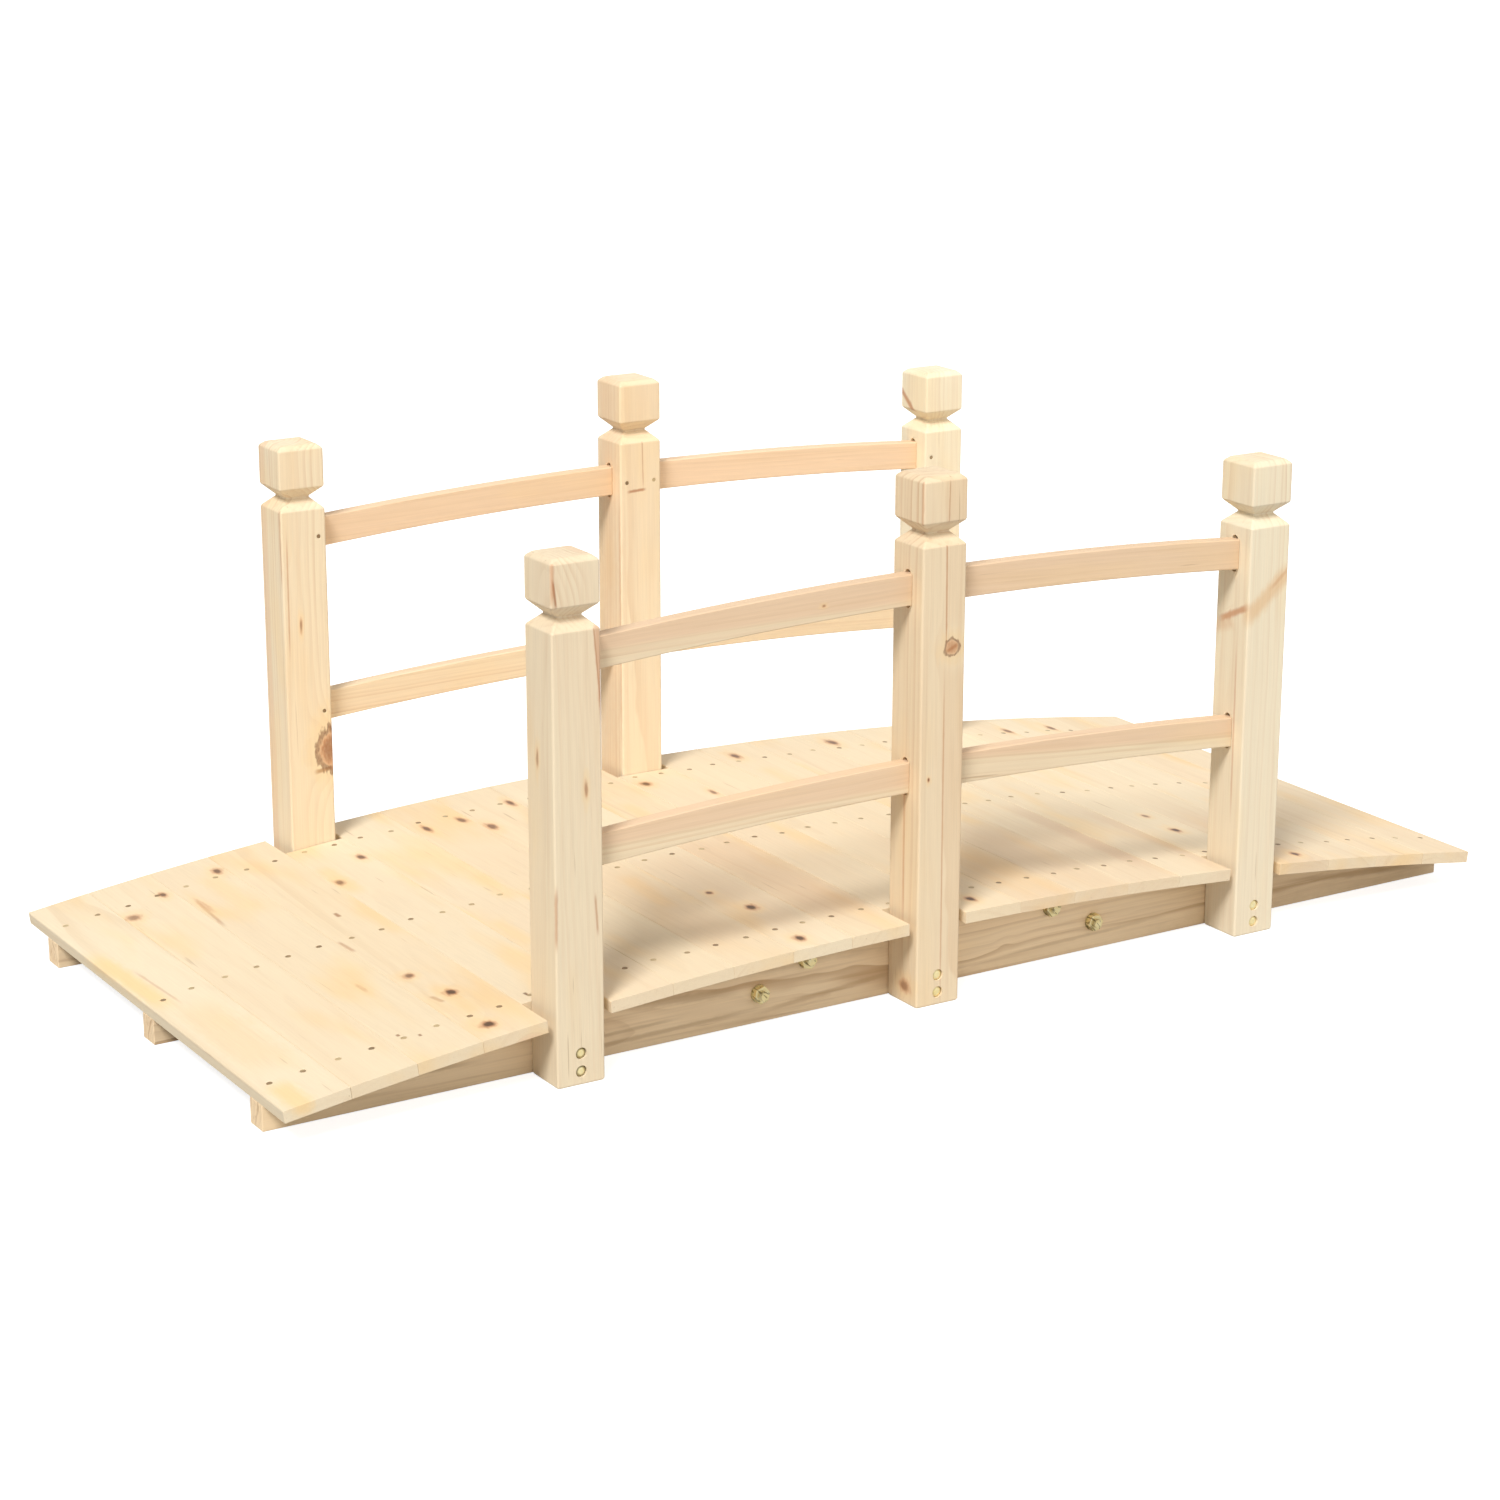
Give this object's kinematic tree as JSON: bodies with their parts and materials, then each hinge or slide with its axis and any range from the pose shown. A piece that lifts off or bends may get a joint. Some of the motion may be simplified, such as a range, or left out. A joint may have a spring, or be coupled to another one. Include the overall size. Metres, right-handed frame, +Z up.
{
  "type": "arched garden footbridge",
  "caption": "Small arched garden footbridge of pale softwood: a boarded deck on sawn stringers, with capped posts and curved rails along both sides.",
  "frame": {"origin": "on the ground under the middle of the bridge", "axes": "+X along the bridge, +Y across it to the back, +Z up"},
  "size_m": [1.4992, 0.67, 0.5675],
  "materials": {
    "deck_wood": "planed untreated pale fir",
    "stringer_wood": "sawn untreated pale fir",
    "post_wood": "planed untreated pale fir",
    "rail_wood": "planed untreated pale fir",
    "plated_steel": "yellow zinc plating"
  },
  "bodies": {
    "root": {"board_01": "deck_wood", "board_02": "deck_wood", "board_03": "deck_wood", "board_04": "deck_wood", "board_05": "deck_wood", "board_06": "deck_wood", "board_07": "deck_wood", "board_08": "deck_wood", "board_09": "deck_wood", "board_10": "deck_wood", "board_11": "deck_wood", "board_12": "deck_wood", "board_13": "deck_wood", "board_14": "deck_wood", "board_15": "deck_wood", "board_16": "deck_wood", "board_17": "deck_wood", "board_18": "deck_wood", "board_19": "deck_wood", "board_20": "deck_wood", "board_21": "deck_wood", "stringer_front_left": "stringer_wood", "stringer_front_right": "stringer_wood", "stringer_middle_left": "stringer_wood", "stringer_middle_right": "stringer_wood", "stringer_back_left": "stringer_wood", "stringer_back_right": "stringer_wood", "joining_board_front": "stringer_wood", "joining_board_middle": "stringer_wood", "joining_board_back": "stringer_wood", "post_front_left": "post_wood", "post_front_middle": "post_wood", "post_front_right": "post_wood", "post_back_left": "post_wood", "post_back_middle": "post_wood", "post_back_right": "post_wood", "rail_front_upper_left": "rail_wood", "rail_front_upper_right": "rail_wood", "rail_front_lower_left": "rail_wood", "rail_front_lower_right": "rail_wood", "rail_back_upper_left": "rail_wood", "rail_back_upper_right": "rail_wood", "rail_back_lower_left": "rail_wood", "rail_back_lower_right": "rail_wood", "bolts": "plated_steel"}
  },
  "joints": []
}
